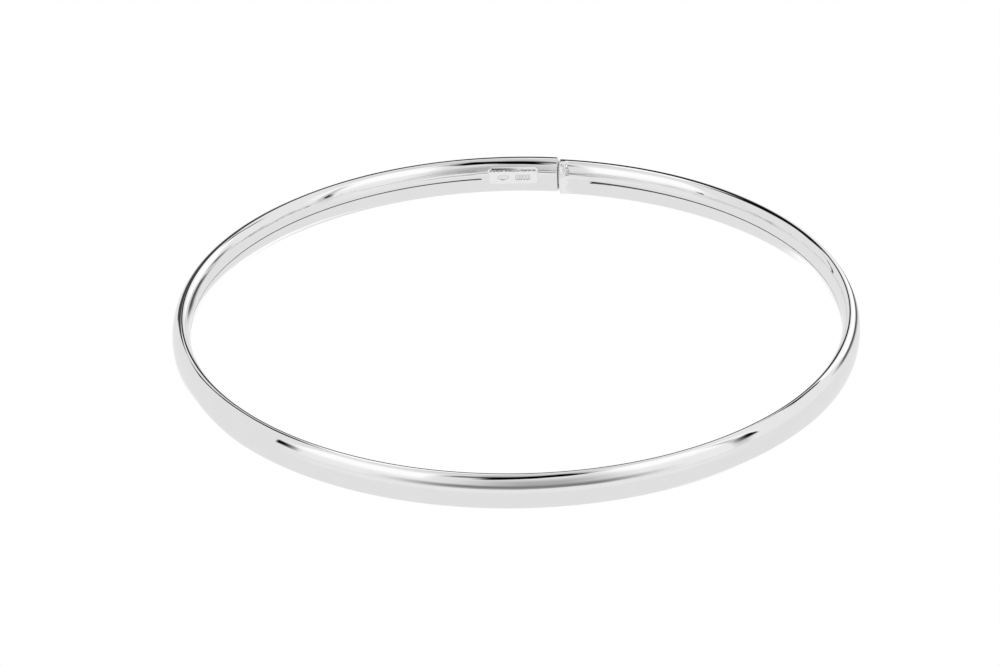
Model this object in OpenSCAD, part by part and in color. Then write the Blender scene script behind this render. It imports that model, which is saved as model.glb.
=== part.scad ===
// Springy bangle of hollow oval silver tube, bent to a ring whose two ends meet.
// A tongue fixed in one end pushes into a collar fixed in the other end.
// The tube itself is the spring: it flexes most at the front, opposite the joint.
// Frame: origin at the ring's centre, +Z along the ring's axis, joint at +Y, front at -Y.

/* [Ring] */
// Inside diameter, from wall to wall
inner_d = 65; // [54:0.5:78]
// Width of the oval section, along the ring's axis
section_w = 3.8; // [3.2:0.1:6]
// Thickness of the oval section, across the ring
section_t = 1.8; // [1.5:0.1:3]
// Thickness of the silver strip that the tube is formed from
wall = 0.28; // [0.22:0.01:0.34]
// Width of the solder line where the strip's two edges meet, on the inside of the ring
seam_w = 0.1; // [0.06:0.01:0.2]

/* [Joint] */
// Gap left between the two ends when the ring is closed
end_gap = 0.15; // [0.05:0.01:0.4]
// How far the collar's end stands above the tongue's end
end_step = 0.2; // [0:0.05:0.3]
// How far the tongue reaches past its own end of the tube
tongue_l = 4; // [2.6:0.1:5]
// Width of the tongue, along the ring's axis
tongue_w = 2.2; // [1.6:0.1:2.4]
// Thickness of the tongue
tongue_t = 0.6; // [0.4:0.05:0.75]
// Length of the tongue's root inside the plug
tongue_root = 2; // [1:0.1:2.6]
// Length of the plug that carries the tongue
plug_l = 3; // [2.8:0.1:5]
// Length of the collar in the other end
collar_l = 2; // [1:0.1:3]
// Play between the tongue and the collar, on each side
slide_clearance = 0.08; // [0.04:0.01:0.12]
// Space that solder fills between pieces fixed together
solder_gap = 0.02; // [0.01:0.01:0.04]
// Thickness of the solder that has run over the plug's end of the tube
flood_t = 0.06; // [0.03:0.01:0.12]
// How far that solder has run along the ring
flood_l = 0.9; // [0.4:0.1:2]

/* [Hallmark plate] */
// Length of the plate, along the ring
plate_l = 4.95; // [3:0.05:6]
// Width of the plate, along the ring's axis
plate_w = 1.5; // [1:0.1:1.8]
// Thickness of the plate
plate_t = 0.3; // [0.2:0.05:0.5]
// Radius of the plate's corners
plate_corner = 0.33; // [0.1:0.01:0.45]
// Distance from the joint to the plate's nearer edge, along the ring
plate_from_joint = 2.1; // [1:0.1:10]
// How far the plate sits above the middle of the tube
plate_rise = 0.3; // [0:0.05:0.3]
// Thickness of the solder under the plate's ends, where it is thinnest
plate_bed = 0.08; // [0.06:0.01:0.12]
// How far the solder fillet stands out around the plate
plate_fillet = 0.1; // [0.05:0.01:0.2]
// Depth of the two plain punch marks
punch_depth = 0.06; // [0.02:0.01:0.12]
// Length of the oval punch mark
oval_punch_l = 1.2; // [0.6:0.1:1.4]
// Length of the barred punch mark
bar_punch_l = 1.5; // [0.8:0.1:1.8]
// Height of both punch marks
punch_h = 0.6; // [0.3:0.05:0.7]
// Distance between the centres of the two punch marks
punch_spacing = 2; // [1.7:0.1:2.2]
// Number of raised bars left standing in the barred mark
bar_count = 4; // [2:1:5]

/* [Hidden] */

$fn = 360;
oval_steps = 48;                              // sides of each oval, so that all ovals match
corner_steps = 32;                            // sides of a full circle in the plate's corners
half_t = section_t / 2;
half_w = section_w / 2;
ring_r = inner_d / 2 + half_t;                // the tube's middle line
bore_t = half_t - wall;                       // half thickness of the hollow inside the tube
bore_w = half_w - wall;                       // half width of the hollow inside the tube
joint_at = 90;                                // the joint's direction, in degrees from +X
front_at = -90;                               // the front's direction
gap_deg = end_gap / ring_r * 180 / PI;
tube_end = 180 - gap_deg / 2;                 // from the front to either end, in degrees
tilt = asin(end_step / 2 / (2 * ring_r));     // each half leans this much, so the ends step apart
flex_y = -(ring_r + half_t);                  // the flexing line runs along Z through here
slide_r = ring_r - flex_y;                    // the tongue swings about the flexing line
cut = 1;                                      // how far a cutting shape runs past what it cuts
plate_at = joint_at + (plate_from_joint + plate_l / 2) / (inner_d / 2) * 180 / PI;
plate_back = sqrt(pow(inner_d / 2, 2) - pow(plate_l / 2, 2)) - plate_bed;
solder_l = plate_l + 2 * plate_fillet;
solder_w = plate_w + 2 * plate_fillet;
bar_pitch = bar_punch_l / (bar_count + 1);
bar_w = bar_pitch / 3;                        // each bar stands on a third of its pitch
lean_up = 1;
lean_down = -1;

// --- Outlines ---

module oval(rx, ry)
  polygon([for (i = [0 : oval_steps - 1])
    [rx * cos(360 * i / oval_steps), ry * sin(360 * i / oval_steps)]]);

module wall_outline()
  difference() {
    oval(half_t, half_w);
    oval(bore_t, bore_w);
  }

// The stretch of the wall, on the inside of the ring, where the strip's edges meet
module seam_window()
  translate([-half_t - cut, -seam_w / 2])
    square([wall + 2 * cut, seam_w]);

module rounded_rect(l, w, r)
  union() {
    square([l - 2 * r, w], center = true);
    square([l, w - 2 * r], center = true);
    for (x = [-1, 1], y = [-1, 1])
      translate([x * (l / 2 - r), y * (w / 2 - r)])
        circle(r, $fn = corner_steps);
  }

// --- Sweeps and places ---

// Sweeps an outline round a centre, from one direction to another
module sweep(r, from, to)
  rotate([0, 0, from])
    rotate_extrude(angle = to - from)
      translate([r, 0])
        children();

// Leans one half of the ring about the front point of its middle line
module leaned(way)
  translate([0, -ring_r, 0])
    rotate([way * tilt, 0, 0])
      translate([0, ring_r, 0])
        children();

// Sweeps an outline along the tube of the collar's half, or along part of it
module along_collar_half(from = 0, to = tube_end)
  leaned(lean_up)
    sweep(ring_r, front_at - to, front_at - from)
      children();

// The same for the tongue's half
module along_tongue_half(from = 0, to = tube_end)
  leaned(lean_down)
    sweep(ring_r, front_at + from, front_at + to)
      children();

// Sweeps an outline about the flexing line, from x to x, so that it can slide along itself
module along_slide(x_from, x_to)
  translate([0, flex_y, 0])
    sweep(slide_r, joint_at - asin(x_to / slide_r), joint_at - asin(x_from / slide_r))
      children();

// Turns a shape that lies flat in XY into the plate's place, its +Z towards the ring's centre
module at_plate(distance)
  leaned(lean_up)
    rotate([0, 0, plate_at])
      translate([distance, 0, plate_rise])
        rotate([90, 0, -90])
          children();

function along(l) = l / ring_r * 180 / PI;    // a length along the tube, in degrees

// --- The formed tube ---

module tube_collar_half()
  color("silver")
    along_collar_half()
      difference() {
        wall_outline();
        seam_window();
      }

module tube_tongue_half()
  color("silver")
    along_tongue_half()
      difference() {
        wall_outline();
        seam_window();
      }

module seam_solder_collar_half()
  color("darkgray")
    along_collar_half()
      intersection() {
        wall_outline();
        seam_window();
      }

module seam_solder_tongue_half()
  color("darkgray")
    along_tongue_half()
      intersection() {
        wall_outline();
        seam_window();
      }

// --- The push-in joint ---

module joint_collar()
  color("gainsboro")
    difference() {
      along_collar_half(tube_end - along(collar_l))
        oval(bore_t - solder_gap, bore_w - solder_gap);
      along_slide(-collar_l - end_gap - cut, cut)
        oval(tongue_t / 2 + slide_clearance, tongue_w / 2 + slide_clearance);
    }

module tongue_plug()
  color("gainsboro")
    difference() {
      along_tongue_half(tube_end - along(plug_l))
        oval(bore_t - solder_gap, bore_w - solder_gap);
      along_slide(-cut, end_gap / 2 + tongue_root + solder_gap)
        oval(tongue_t / 2 + solder_gap, tongue_w / 2 + solder_gap);
    }

module joint_tongue()
  color("silver")
    along_slide(end_gap / 2 - tongue_l, end_gap / 2 + tongue_root)
      oval(tongue_t / 2, tongue_w / 2);

// Solder that has run over the end of the tube, on the inside of the ring
module plug_solder()
  color("darkgray")
    along_tongue_half(tube_end - along(flood_l))
      intersection() {
        difference() {
          translate([-flood_t, 0])
            oval(half_t, half_w);
          oval(half_t, half_w);
        }
        translate([-half_t - flood_t - cut, -bore_w])
          square([half_t + flood_t + cut, 2 * bore_w]);
      }

// --- The hallmark plate ---

module punch_marks() {
  translate([-punch_spacing / 2, 0])
    oval(oval_punch_l / 2, punch_h / 2);
  translate([punch_spacing / 2, 0])
    difference() {
      square([bar_punch_l, punch_h], center = true);
      for (i = [1 : bar_count])
        translate([i * bar_pitch - bar_punch_l / 2, 0])
          square([bar_w, punch_h + cut], center = true);
    }
}

module hallmark_plate()
  color("whitesmoke")
    at_plate(plate_back)
      difference() {
        linear_extrude(plate_t)
          rounded_rect(plate_l, plate_w, plate_corner);
        translate([0, 0, plate_t - punch_depth])
          linear_extrude(punch_depth + cut)
            punch_marks();
      }

// The solder bed fills the space from the flat plate to the round wall
module plate_solder()
  color("darkgray")
    difference() {
      at_plate(plate_back)
        translate([0, 0, -cut / 2])
          linear_extrude(cut / 2 + plate_fillet)
            rounded_rect(solder_l, solder_w, plate_corner + plate_fillet);
      at_plate(plate_back)
        linear_extrude(plate_t + cut)
          rounded_rect(plate_l, plate_w, plate_corner);
      along_collar_half()
        oval(half_t, half_w);
    }

tube_collar_half();
tube_tongue_half();
seam_solder_collar_half();
seam_solder_tongue_half();
joint_collar();
tongue_plug();
joint_tongue();
plug_solder();
hallmark_plate();
plate_solder();
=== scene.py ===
# %% [markdown]
# # A springy silver bangle
# The object is one length of thin oval silver tube bent to a ring. At the back its two ends meet:
# a tongue fixed in one end pushes into a collar in the other. Beside the joint, on the inside, a
# small plate is soldered on, because the wall of a hollow tube is too thin to be struck.
# The CAD model brings the sizes, the two bodies and the joint between them. This script builds
# what the eye sees around it: the polished skin, the worked ends, the solder and the light.

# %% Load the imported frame
import math

import bmesh
import bpy
import numpy as np
from mathutils import Matrix, Vector, noise


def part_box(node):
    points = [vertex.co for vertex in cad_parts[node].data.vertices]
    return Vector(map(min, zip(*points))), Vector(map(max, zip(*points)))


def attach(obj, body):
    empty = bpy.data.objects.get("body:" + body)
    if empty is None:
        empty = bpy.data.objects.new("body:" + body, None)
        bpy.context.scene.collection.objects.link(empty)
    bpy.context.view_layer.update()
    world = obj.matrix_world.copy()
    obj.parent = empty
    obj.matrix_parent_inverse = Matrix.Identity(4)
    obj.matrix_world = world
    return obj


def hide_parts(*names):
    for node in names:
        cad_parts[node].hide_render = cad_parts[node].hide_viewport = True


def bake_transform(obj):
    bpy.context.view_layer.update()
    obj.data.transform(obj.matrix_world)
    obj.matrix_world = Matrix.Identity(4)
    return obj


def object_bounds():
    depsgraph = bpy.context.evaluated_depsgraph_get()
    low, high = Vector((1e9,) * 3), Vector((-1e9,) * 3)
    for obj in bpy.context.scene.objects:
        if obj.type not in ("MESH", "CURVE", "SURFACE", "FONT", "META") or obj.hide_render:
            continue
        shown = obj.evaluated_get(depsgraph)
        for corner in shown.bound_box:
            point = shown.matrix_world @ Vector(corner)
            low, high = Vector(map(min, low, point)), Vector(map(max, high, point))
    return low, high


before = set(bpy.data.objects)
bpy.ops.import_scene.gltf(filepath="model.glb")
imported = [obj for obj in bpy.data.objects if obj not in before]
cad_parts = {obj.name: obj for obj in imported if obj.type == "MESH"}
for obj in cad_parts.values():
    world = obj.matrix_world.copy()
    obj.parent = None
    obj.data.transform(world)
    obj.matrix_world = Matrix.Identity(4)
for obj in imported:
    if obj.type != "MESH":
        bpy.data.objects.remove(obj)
cad_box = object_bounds()
print("CAD box in mm:", [tuple(round(v * 1000, 2) for v in corner) for corner in cad_box])

# %% [markdown]
# Every size below is in metres. The ring's radius, the tube's width and the small step at the joint
# are read back from the CAD model, so that a change there carries over. The rest are bench sizes.

# %% Sizes of the ring
MM = 0.001
COLLAR_BODY, TONGUE_BODY = "collar_side", "tongue_side"
tube_low, tube_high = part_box("tube_collar_half")
collar_low, collar_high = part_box("joint_collar")
tongue_low, tongue_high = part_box("joint_tongue")

TUBE_T = 1.8 * MM                             # thickness of the oval, across the ring
TUBE_WALL = 0.28 * MM                         # thickness of the silver strip
HALF_T = TUBE_T / 2
HALF_W = -tube_low.z                          # half the width of the oval, along the ring's axis
RING_R = -tube_low.y - HALF_T                 # the tube's middle line
LIFT = tube_high.z - HALF_W                   # each end stands this far above or below the middle
LEAN = math.asin(LIFT / (2 * RING_R))
END_GAP = -2 * collar_high.x                  # between the two ends
FLEX_Y = -(RING_R + HALF_T)                   # the line that the ring opens about
SLIDE_R = RING_R - FLEX_Y                     # the tongue swings about that line
JOINT_DEG, FRONT_DEG = 90.0, -90.0
BORE_T, BORE_W = HALF_T - TUBE_WALL, HALF_W - TUBE_WALL
print(f"ring radius {RING_R / MM:.2f} mm, gap at the joint {END_GAP / MM:.2f} mm")
print(f"tube {TUBE_T / MM:.2f} x {2 * HALF_W / MM:.2f} mm, each end lifted {LIFT / MM:.2f} mm")

# %% [markdown]
# A point on the bangle is easiest to give as a bender would: how far round the ring, how far out
# from the tube's middle line and how far along the ring's axis. `at_ring` turns that into a place.
# Each half leans a twelfth of a degree, one up and one down, which is the step at the joint.

# %% From ring measures to places
SECTION_POINTS = 144                          # points round the tube's outline


def tilt(directions, way):
    """Tips directions about the X-axis, as far as that half leans."""
    c, s = math.cos(way * LEAN), math.sin(way * LEAN)
    x, y, z = np.moveaxis(directions, -1, 0)
    return np.stack([x, y * c - z * s, y * s + z * c], -1)


def lean(points, way):
    """Tips places about the X-line through the front of the tube's middle line."""
    front = np.array([0, RING_R, 0])
    return tilt(points + front, way) - front


def at_ring(degrees, outward, axial, way):
    """Places on the half that leans that way (+1 the collar's, -1 the tongue's)."""
    a = np.radians(degrees)
    r = RING_R + np.asarray(outward, float)
    a, r, z = np.broadcast_arrays(a, r, np.asarray(axial, float))
    return lean(np.stack([r * np.cos(a), r * np.sin(a), z], -1), way)


def arc_degrees(length, radius=RING_R):
    """The angle that a length along the ring takes up."""
    return math.degrees(length / radius)


def oval(half_t, half_w, count=SECTION_POINTS):
    """Points round an oval section, as (outward, axial) pairs."""
    a = np.linspace(0, 2 * np.pi, count, endpoint=False)
    return np.stack([half_t * np.cos(a), half_w * np.sin(a)], -1)


END_DEG = 180 - arc_degrees(END_GAP / 2)      # from the front to either end of the tube
print(f"each half of the tube covers {END_DEG:.2f} degrees")

# %% [markdown]
# All the metal is made by one helper that skins a row of closed outlines, as a loft does. A mirror
# finish shows every error in a surface normal, so the normals can be given exactly instead of being
# guessed from the facets. Columns named in `flat` keep their facet's own normal, for crisp corners.

# %% Helpers for any mesh
def point_faces_outward(mesh):
    work = bmesh.new()
    work.from_mesh(mesh)
    bmesh.ops.recalc_face_normals(work, faces=work.faces)
    work.to_mesh(mesh)
    work.free()
    mesh.update()


def add_to_scene(name, data):
    obj = bpy.data.objects.new(name, data)
    bpy.context.scene.collection.objects.link(obj)
    return obj


def finish_piece(obj, material, body=None, replaces=()):
    """Gives a piece its finish, the body it rides on and the CAD node it replaces."""
    obj.data.materials.clear()
    obj.data.materials.append(material)
    if body:
        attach(obj, body)
    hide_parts(*replaces)
    print(f"{obj.name}: {len(obj.data.polygons)} faces")


print("pieces ride on", COLLAR_BODY, "or", TONGUE_BODY, "or bend between them")

# %% [markdown]
# Beside its faces a loft carries a flat layout: millimetres along the piece in one direction and
# round its outline in the other. The finishes read their marks from it, so a scratch has the same
# size on every piece.

# %% The lofting helper
SURFACE_MAP = "along_and_round"


def write_surface_map(mesh, along, around):
    """Lays a loft out flat: one number for each row, and one for each point round the outline."""
    rows, columns = np.arange(len(along)), np.arange(len(around) - 1)
    quad_rows = len(mesh.polygons) // len(columns)
    row, column = rows[:quad_rows, None], columns[None, :]
    corner_row = np.stack(np.broadcast_arrays(row + 0 * column, row, row + 1, row + 1), -1).reshape(-1)
    corner_column = np.stack(np.broadcast_arrays(column + 0 * row, column + 1, column + 1, column), -1)
    values = np.zeros((len(mesh.loops), 2))
    values[:len(corner_row), 0] = along[corner_row % len(rows)]
    values[:len(corner_row), 1] = around[corner_column.reshape(-1)]
    mesh.uv_layers.new(name=SURFACE_MAP).data.foreach_set("uv", values.ravel())


def set_exact_normals(mesh, normals, quads, flat):
    """Gives each corner of a quad its row's exact normal. End caps and flat columns stay faceted."""
    count = normals.shape[1]
    corner_vertex = np.zeros(len(mesh.loops), int)
    mesh.loops.foreach_get("vertex_index", corner_vertex)
    corner_normals = normals.reshape(-1, 3)[corner_vertex]
    for face in mesh.polygons:
        if face.index >= quads or face.index % count in flat:
            corner_normals[face.loop_start:face.loop_start + face.loop_total] = face.normal
    mesh.normals_split_custom_set(corner_normals.tolist())


def skin(name, rings, uv, normals=None, flat=(), loop=False):
    """Joins rows of closed outlines into one mesh. A loop of rows has no ends; others are capped."""
    rows, count, _ = rings.shape
    row = np.arange(rows if loop else rows - 1)[:, None]
    column = np.arange(count)[None, :]
    next_row, next_column = (row + 1) % rows, (column + 1) % count
    quads = np.stack([row * count + column, row * count + next_column,
                      next_row * count + next_column, next_row * count + column], -1).reshape(-1, 4)
    faces = quads.tolist()
    if not loop:
        faces.append(list(range(count))[::-1])
        faces.append(list(range((rows - 1) * count, rows * count)))
    mesh = bpy.data.meshes.new(name)
    mesh.from_pydata(rings.reshape(-1, 3).tolist(), [], faces)
    mesh.polygons.foreach_set("use_smooth", [True] * len(faces))
    write_surface_map(mesh, *uv)
    point_faces_outward(mesh)
    if normals is not None:
        set_exact_normals(mesh, normals, len(quads), flat)
    return add_to_scene(name, mesh)


print(f"each row of a tube's loft has {SECTION_POINTS} points before its seam is cut in")

# %% [markdown]
# ## The camera
# A long lens from a good way off, looking a little down into the ring, keeps the oval of the ring
# true. The joint stands a few degrees right of the far side, so the plate is nearly opposite.

# %% Camera
VIEW_AZIMUTH, VIEW_ELEVATION = math.radians(8.0), math.radians(28.19)
VIEW_DISTANCE = 50.1 * RING_R
SENSOR = 36 * MM
RING_SHARE = 0.3348                           # the ring's radius as a share of the frame's width
VIEW_ROLL = math.radians(-1.0)
AIM_RIGHT, AIM_UP = -0.0485 * RING_R, -0.0107 * RING_R
NEAR_CLIP, FAR_CLIP = 0.1, 20                 # nothing nearer or farther than this is drawn

back = Vector((math.sin(VIEW_AZIMUTH) * math.cos(VIEW_ELEVATION),
               -math.cos(VIEW_AZIMUTH) * math.cos(VIEW_ELEVATION), math.sin(VIEW_ELEVATION)))
camera = add_to_scene("camera", bpy.data.cameras.new("camera"))
camera.data.sensor_width = SENSOR / MM
camera.data.lens = RING_SHARE * VIEW_DISTANCE / RING_R * SENSOR / MM
camera.data.clip_start, camera.data.clip_end = NEAR_CLIP, FAR_CLIP
turn = (-back).to_track_quat("-Z", "Y").to_matrix() @ Matrix.Rotation(VIEW_ROLL, 3, "Z")
right, up = turn.col[0], turn.col[1]
stand = back * VIEW_DISTANCE + right * AIM_RIGHT + up * AIM_UP
camera.matrix_world = Matrix.Translation(stand) @ turn.to_4x4()
bpy.context.scene.camera = camera
print(f"lens {camera.data.lens:.0f} mm at {VIEW_DISTANCE:.2f} m")

# %% [markdown]
# ## Silver
# Polished silver is a mirror with a very even, nearly white colour. What makes it read as metal
# that hands have worked is small: hair-fine polishing lines, a faint unevenness from drawing and
# bending the tube, and slightly greyer, rougher silver where a file or solder has been. Four node
# groups hold these effects, and the finishes below use them with their own values. They could be
# wired by hand in the shader editor. Three short helpers write the same nodes here.

# %% Node helpers
def new_group(name, inputs, outputs):
    """A shader node group. Inputs are given as (name, kind, value) and outputs as (name, kind)."""
    group = bpy.data.node_groups.new(name, "ShaderNodeTree")
    for label, kind, value in inputs:
        socket = group.interface.new_socket(label, in_out="INPUT", socket_type=kind)
        if value is not None:
            socket.default_value = value
    for label, kind in outputs:
        group.interface.new_socket(label, in_out="OUTPUT", socket_type=kind)
    return group, group.nodes.new("NodeGroupInput"), group.nodes.new("NodeGroupOutput")


def add(tree, kind, inputs=None, **settings):
    """Adds a node. Its inputs are linked from other sockets, or set where a plain value is given."""
    node = tree.nodes.new(kind)
    for key, value in settings.items():
        setattr(node, key, value)
    for socket, source in (inputs or {}).items():
        if isinstance(source, bpy.types.NodeSocket):
            tree.links.new(source, node.inputs[socket])
        else:
            node.inputs[socket].default_value = source
    return node


def sums(tree, operation, *values):
    """One step of arithmetic on sockets or plain numbers."""
    return add(tree, "ShaderNodeMath", dict(enumerate(values)), operation=operation).outputs[0]


def name_sockets(group):
    """Prints what a node group takes, and hands the group on."""
    sockets = group.interface.items_tree
    print(group.name, "takes", ", ".join(k.name for k in sockets if k.in_out == "INPUT"))
    return group

# %% [markdown]
# A polishing wheel leaves hair-fine lines along the tube. Noise that is stretched along and squeezed
# across gives them, and slow noise added to it keeps them from running dead straight. An image of
# scratches would show its repeat on a long tube, so it is not used.

# %% Polishing lines
NUMBER, VECTOR, COLOUR = "NodeSocketFloat", "NodeSocketVector", "NodeSocketColor"


def stretched_noise(g, i, detail):
    """Noise drawn out along a piece and squeezed across it, and how far round the outline it is."""
    split = add(g, "ShaderNodeSeparateXYZ", {0: i.outputs["Place"]})
    x = sums(g, "MULTIPLY", split.outputs[0], i.outputs["Along"])
    y = sums(g, "MULTIPLY", split.outputs[1], i.outputs["Across"])
    stretched = add(g, "ShaderNodeCombineXYZ", {0: x, 1: y})
    lines = add(g, "ShaderNodeTexNoise", {"Vector": stretched.outputs[0], "Scale": 1.0, "Detail": detail})
    return lines.outputs["Fac"], split.outputs[1]


def make_polishing_lines():
    g, i, o = new_group("polishing_lines",
                        [("Place", VECTOR, None), ("Along", NUMBER, 0.5), ("Across", NUMBER, 30.0),
                         ("Waviness", NUMBER, 0.5)], [("Height", NUMBER)])
    lines, _ = stretched_noise(g, i, detail=4.0)
    slow = add(g, "ShaderNodeTexNoise", {"Vector": i.outputs["Place"], "Scale": 0.6, "Detail": 1.0})
    wave = sums(g, "MULTIPLY", slow.outputs["Fac"], i.outputs["Waviness"])
    g.links.new(sums(g, "ADD", lines, wave), o.inputs["Height"])
    return g


POLISHING = name_sockets(make_polishing_lines())

# %% [markdown]
# Silver that has been handled is never of one tone. Slow patches decide how far it is dulled, and the
# same patches make it a little rougher, as the two go together on real metal.

# %% Worked tone
PATCH_STARTS, PATCH_ENDS = 0.35, 0.7          # noise below the first is bright, above the second dull


def make_worked_tone():
    g, i, o = new_group("worked_tone",
                        [("Place", VECTOR, None), ("Patch size", NUMBER, 1.0),
                         ("Bright", COLOUR, (1, 1, 1, 1)), ("Dull", COLOUR, (0.8, 0.8, 0.8, 1)),
                         ("Smooth", NUMBER, 0.05), ("Rough", NUMBER, 0.2)],
                        [("Colour", COLOUR), ("Roughness", NUMBER)])
    patch = add(g, "ShaderNodeTexNoise", {"Vector": i.outputs["Place"], "Scale": i.outputs["Patch size"],
                                          "Detail": 5.0, "Roughness": 0.6})
    share = add(g, "ShaderNodeMapRange", {0: patch.outputs["Fac"], 1: PATCH_STARTS, 2: PATCH_ENDS})
    tone = add(g, "ShaderNodeMix", {0: share.outputs[0], 6: i.outputs["Bright"], 7: i.outputs["Dull"]},
               data_type="RGBA")
    spread = sums(g, "SUBTRACT", i.outputs["Rough"], i.outputs["Smooth"])
    rough = sums(g, "ADD", sums(g, "MULTIPLY", spread, share.outputs[0]), i.outputs["Smooth"])
    g.links.new(tone.outputs[2], o.inputs["Colour"])
    g.links.new(rough, o.inputs["Roughness"])
    return g


TONE = name_sockets(make_worked_tone())

# %% [markdown]
# Solder sets with small round hollows in it. Cell noise gives a distance from the nearest of many
# scattered points, and that distance, cut off early, is a field of round pits.

# %% Pits
def make_pits():
    g, i, o = new_group("pits", [("Place", VECTOR, None), ("Size", NUMBER, 4.0), ("Share", NUMBER, 0.4)],
                        [("Height", NUMBER)])
    cells = add(g, "ShaderNodeTexVoronoi", {"Vector": i.outputs["Place"], "Scale": i.outputs["Size"]})
    hollow = add(g, "ShaderNodeMapRange", {0: cells.outputs["Distance"], 1: 0.0, 2: i.outputs["Share"]})
    g.links.new(hollow.outputs[0], o.inputs["Height"])
    return g


PITS = name_sockets(make_pits())

# %% [markdown]
# Drawing the tube leaves long ripples in it. On the inside of the ring a polishing wheel hardly
# reaches, so they stay there. The ripples are stretched noise again, kept to one side of the section
# by how far round the outline a place lies.

# %% Drawing lines
RIPPLES_FULL = 0.8                            # millimetres either side of the inner wall's middle


def make_drawing_lines():
    g, i, o = new_group("drawing_lines",
                        [("Place", VECTOR, None), ("Middle", NUMBER, 4.5), ("Reach", NUMBER, 2.2),
                         ("Across", NUMBER, 3.0), ("Along", NUMBER, 0.08)], [("Height", NUMBER)])
    ripples, round_outline = stretched_noise(g, i, detail=2.0)
    away = sums(g, "ABSOLUTE", sums(g, "SUBTRACT", round_outline, i.outputs["Middle"]))
    inside = add(g, "ShaderNodeMapRange", {0: away, 1: i.outputs["Reach"], 2: RIPPLES_FULL})
    g.links.new(sums(g, "MULTIPLY", ripples, inside.outputs[0]), o.inputs["Height"])
    return g


DRAWN = name_sockets(make_drawing_lines())

# %% [markdown]
# `silver` puts the groups together. The marks are read in millimetres along and round the tube from
# the piece's own layout, so they stay on the metal when the ring springs open.

# %% The silver recipe
MARK_HEIGHT = 0.001 * MM                      # how high a mark of strength 1 stands
LINE_WAVINESS = 2.0


def empty_material(name):
    mat = bpy.data.materials.new(name)
    mat.use_nodes = True
    mat.node_tree.nodes.clear()
    return mat, mat.node_tree


def silver(name, bright, dull, smooth, rough, patch=0.4, along=0.3, across=8.0, marks=1.0,
           pits=0.0, pit_size=4.0, drawn=0.0, struck=None):
    """One finish: two tones, two roughnesses, and how strongly each kind of mark shows."""
    mat, tree = empty_material(name)
    place = add(tree, "ShaderNodeUVMap", uv_map=SURFACE_MAP).outputs[0]
    tone = add(tree, "ShaderNodeGroup",
               {"Place": place, "Patch size": patch, "Smooth": smooth, "Rough": rough,
                "Bright": (bright, bright, bright, 1), "Dull": (dull, dull, dull, 1)}, node_tree=TONE)
    lines = add(tree, "ShaderNodeGroup",
                {"Place": place, "Along": along, "Across": across, "Waviness": LINE_WAVINESS},
                node_tree=POLISHING)
    height = lines.outputs["Height"]
    if pits:
        hollow = add(tree, "ShaderNodeGroup", {"Place": place, "Size": pit_size}, node_tree=PITS)
        height = sums(tree, "ADD", height, sums(tree, "MULTIPLY", hollow.outputs["Height"], pits))
    if drawn:
        ripples = add(tree, "ShaderNodeGroup", {"Place": place}, node_tree=DRAWN)
        height = sums(tree, "ADD", height, sums(tree, "MULTIPLY", ripples.outputs["Height"], drawn))
    bump = add(tree, "ShaderNodeBump",
               {"Height": height, "Strength": 1.0, "Distance": MARK_HEIGHT * marks})
    colour = tone.outputs["Colour"]
    # painted shade: where the mesh's struck number is high, the colour is mixed towards this darker tone
    if struck:
        marks_at = add(tree, "ShaderNodeAttribute", attribute_name="struck")
        colour = add(tree, "ShaderNodeMix", {0: marks_at.outputs["Fac"], 6: colour,
                                             7: (struck, struck, struck, 1)}, data_type="RGBA").outputs[2]
    shader = add(tree, "ShaderNodeBsdfPrincipled",
                 {"Base Color": colour, "Roughness": tone.outputs["Roughness"], "Metallic": 1.0,
                  "Normal": bump.outputs[0]})
    add(tree, "ShaderNodeOutputMaterial", {"Surface": shader.outputs[0]})
    return mat


print(f"a mark of strength 1 stands {MARK_HEIGHT / MM} mm high")

# %% [markdown]
# Each finish starts with four numbers: its bright tone, its dull tone, and its roughness where it is
# bright and where it is dull. The tube is all mirror. The plate and the solder are a little softer than
# it, and their tone is whiter than the tube's as painted light, so that they show brighter. The
# plate's punch hollows are darkened as painted shade. The fitted parts inside the joint stay grey and
# matt.

# %% The finishes
mirror_silver = silver("mirror_silver", 0.88, 0.86, 0.012, 0.045, along=0.07, marks=1.8, drawn=12.0)
seam_silver = silver("seam_silver", 0.1, 0.04, 0.3, 0.45, patch=1.5, marks=2.0, pits=3.0, pit_size=6.0)
# painted light: the solder's tone is whiter than the tube's so that the fillet and the run show brighter
painted_light_flowed_solder = silver("painted_light_flowed_solder", 0.98, 0.9, 0.03, 0.12, patch=2.5, marks=2.0, pits=2.0)
worked_silver = silver("worked_silver", 0.9, 0.78, 0.1, 0.25, patch=1.2, along=0.2, across=20.0, marks=2.0)
fitted_silver = silver("fitted_silver", 0.4, 0.15, 0.2, 0.4, patch=3.0, along=5.0, across=9.0, marks=3.0)
# painted light: the plate's tone is whiter than the tube's so that it shows brighter; its struck tone
# darkens the punch hollows as painted shade
plate_silver = silver("plate_silver", 0.98, 0.92, 0.06, 0.16, patch=2.0, along=0.6, across=9.0, marks=1.5,
                      struck=0.35)
print("finishes:", [m.name for m in bpy.data.materials if m.name.endswith(("silver", "solder"))])

# %% [markdown]
# ## The tube
# The real tube starts as a strip of sheet, drawn through an oval plate until its edges meet, then
# soldered along that line and bent with the line inside. It is lofted here the same way round: one
# oval outline carried round the ring, with a shallow groove for the soldered line. The groove fades
# out near the joint, where the tube was filled and polished over. Each half ends in a rounded rim
# and turns back into its own bore, so the wall can be seen when the joint is open.

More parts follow.
